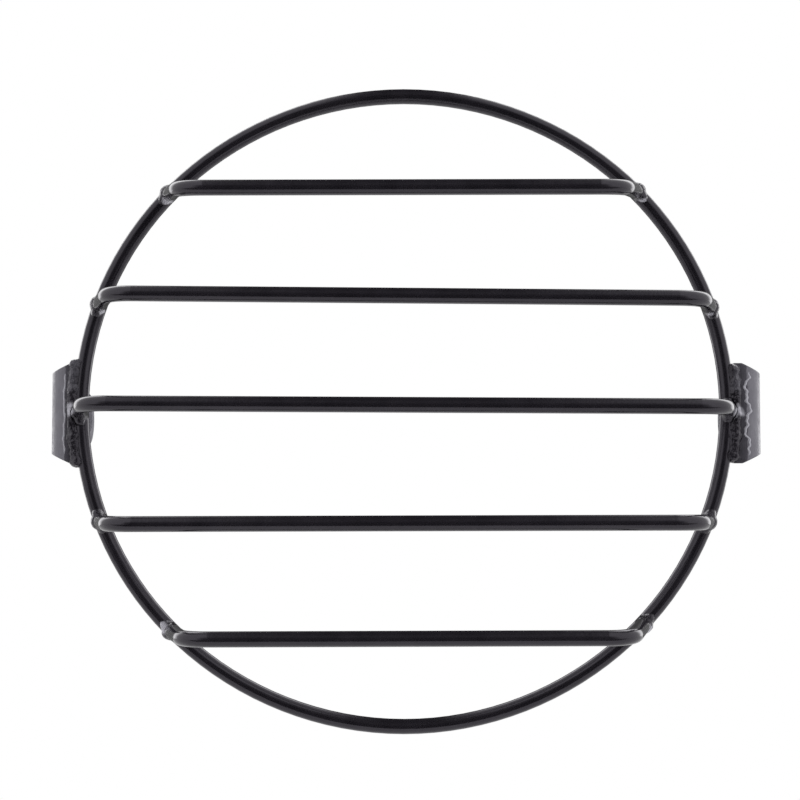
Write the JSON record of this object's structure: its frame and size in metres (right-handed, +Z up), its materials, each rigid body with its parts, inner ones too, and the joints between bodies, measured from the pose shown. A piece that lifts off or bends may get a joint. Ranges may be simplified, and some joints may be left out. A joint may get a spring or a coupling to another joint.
{
  "type": "motorcycle headlight guard",
  "caption": "Black steel-rod guard for a round motorcycle headlight: a hoop with bent bars standing across its front and a drilled bracket welded to each side.",
  "frame": {"origin": "middle of the line through the two bracket holes, midway between the arms; the hoop's middle is 0.55 mm to the left of it and 1.3 mm above it", "axes": "+X to the right as seen from the front of the lamp, along the line through the bracket holes; +Y back towards the lamp, so the guard faces -Y; +Z up"},
  "size_m": [0.1916, 0.0785, 0.173],
  "materials": {
    "rod_paint": "gloss",
    "bracket_paint": "satin",
    "weld_paint": "gloss"
  },
  "bodies": {
    "root": {"bar_bottom": "rod_paint", "bar_lower": "rod_paint", "bar_middle": "rod_paint", "bar_top": "rod_paint", "bar_upper": "rod_paint", "bracket_left": "bracket_paint", "bracket_right": "bracket_paint", "hoop": "rod_paint", "weld_bar_bottom_left": "weld_paint", "weld_bar_bottom_right": "weld_paint", "weld_bar_lower_left": "weld_paint", "weld_bar_lower_right": "weld_paint", "weld_bar_middle_left": "weld_paint", "weld_bar_middle_right": "weld_paint", "weld_bar_top_left": "weld_paint", "weld_bar_top_right": "weld_paint", "weld_bar_upper_left": "weld_paint", "weld_bar_upper_right": "weld_paint", "weld_bracket_left": "weld_paint", "weld_bracket_right": "weld_paint"}
  },
  "joints": []
}
